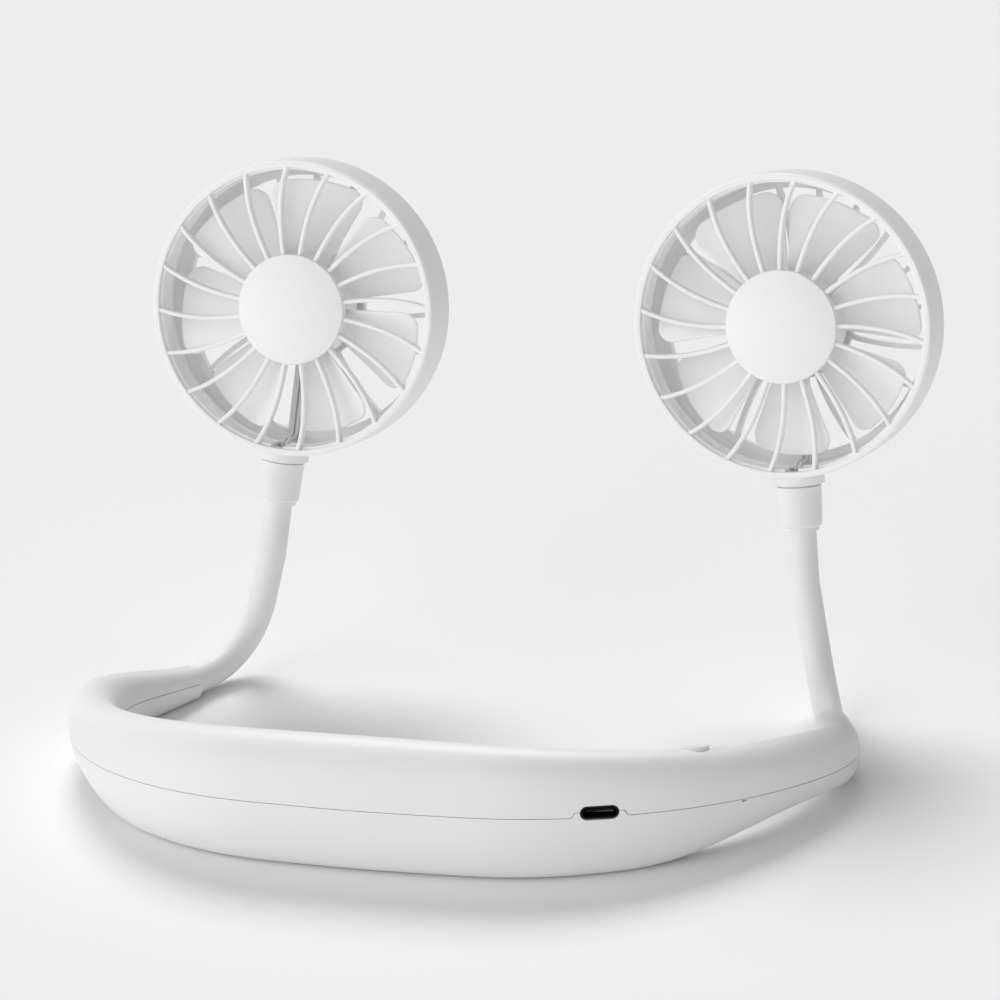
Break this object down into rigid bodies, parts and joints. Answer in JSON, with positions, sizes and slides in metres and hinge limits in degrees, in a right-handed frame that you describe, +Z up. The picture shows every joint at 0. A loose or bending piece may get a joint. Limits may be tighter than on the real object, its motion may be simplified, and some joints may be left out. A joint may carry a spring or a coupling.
{
  "type": "electric neck fan",
  "caption": "Wearable neck fan: a hollow U-shaped neck band with a charging port and button, bendable goosenecks and round fan heads with swirl grilles and bladed impellers.",
  "frame": {"origin": "on the flat underside of the neck band, on the plane of symmetry, at the middle of the band's closed front", "axes": "+X to the right across the band, +Y from the closed front of the band to its open end, +Z up"},
  "size_m": [0.2069, 0.1543, 0.1318],
  "materials": {
    "shell_white": "gloss",
    "head_white": "satin",
    "blade_white": "satin",
    "sleeve_silicone": "matte",
    "battery_silver": "satin",
    "lead_dark": "matte",
    "lead_white": "matte",
    "board_green": "satin",
    "port_steel": "satin",
    "port_black": "matte",
    "core_metal": "matte",
    "motor_silver": "satin",
    "bush_brass": "satin"
  },
  "bodies": {
    "band": {"upper_shell": "shell_white", "lower_shell": "shell_white", "battery_cell": "battery_silver", "battery_leads": "lead_dark", "control_board": "board_green", "usb_shell": "port_steel", "usb_tongue": "port_black", "button_switch": "port_black", "left_mouth_ring": "shell_white", "right_mouth_ring": "shell_white"},
    "power_button": {"power_button": "shell_white"},
    "left_arm": {"left_sleeve": "sleeve_silicone", "left_bend_core": "core_metal", "left_motor_leads": "lead_dark"},
    "left_head": {"left_front_grille": "head_white", "left_rear_housing": "head_white", "left_collar": "shell_white", "left_collar_ring": "shell_white", "left_motor_can": "motor_silver", "left_motor_bush": "bush_brass", "left_head_leads": "lead_white"},
    "left_fan": {"left_impeller": "blade_white", "left_motor_shaft": "motor_silver"},
    "right_arm": {"right_sleeve": "sleeve_silicone", "right_bend_core": "core_metal", "right_motor_leads": "lead_dark"},
    "right_head": {"right_front_grille": "head_white", "right_rear_housing": "head_white", "right_collar": "shell_white", "right_collar_ring": "shell_white", "right_motor_can": "motor_silver", "right_motor_bush": "bush_brass", "right_head_leads": "lead_white"},
    "right_fan": {"right_impeller": "blade_white", "right_motor_shaft": "motor_silver"}
  },
  "joints": [
    {"name": "left_gooseneck_pan", "type": "hinge", "parent": "band", "child": "left_arm", "pos_m": [-0.07901, 0.10411, 0.00683], "axis": [0, 0, -1], "range_deg": [-45, 30], "deforming": ["left_sleeve", "left_bend_core", "left_motor_leads"]},
    {"name": "left_gooseneck_nod", "type": "hinge", "parent": "left_arm", "child": "left_head", "pos_m": [-0.07046, 0.11425, 0.03086], "axis": [0.9903, 0.0226, -0.1375], "range_deg": [-30, 45], "deforming": ["left_sleeve", "left_bend_core", "left_motor_leads"]},
    {"name": "left_fan_spin", "type": "hinge", "parent": "left_head", "child": "left_fan", "pos_m": [-0.06218, 0.12869, 0.09287], "axis": [-0.0528, 0.9741, -0.2198], "continuous": true},
    {"name": "right_gooseneck_pan", "type": "hinge", "parent": "band", "child": "right_arm", "pos_m": [0.07931, 0.10394, 0.00697], "axis": [0, 0, 1], "range_deg": [-45, 30], "deforming": ["right_sleeve", "right_bend_core", "right_motor_leads"]},
    {"name": "right_gooseneck_nod", "type": "hinge", "parent": "right_arm", "child": "right_head", "pos_m": [0.07276, 0.11434, 0.03133], "axis": [0.9962, 0.0666, 0.0562], "range_deg": [-30, 45], "deforming": ["right_sleeve", "right_bend_core", "right_motor_leads"]},
    {"name": "right_fan_spin", "type": "hinge", "parent": "right_head", "child": "right_fan", "pos_m": [0.0683, 0.12821, 0.09386], "axis": [-0.0528, 0.9741, -0.2198], "continuous": true},
    {"name": "power_button_press", "type": "slide", "parent": "band", "child": "power_button", "axis": [0.1647, -0.4139, -0.8953], "range_m": [0, 0.0005], "stiffness_N_per_m": 900, "springref_m": -0.0004}
  ]
}
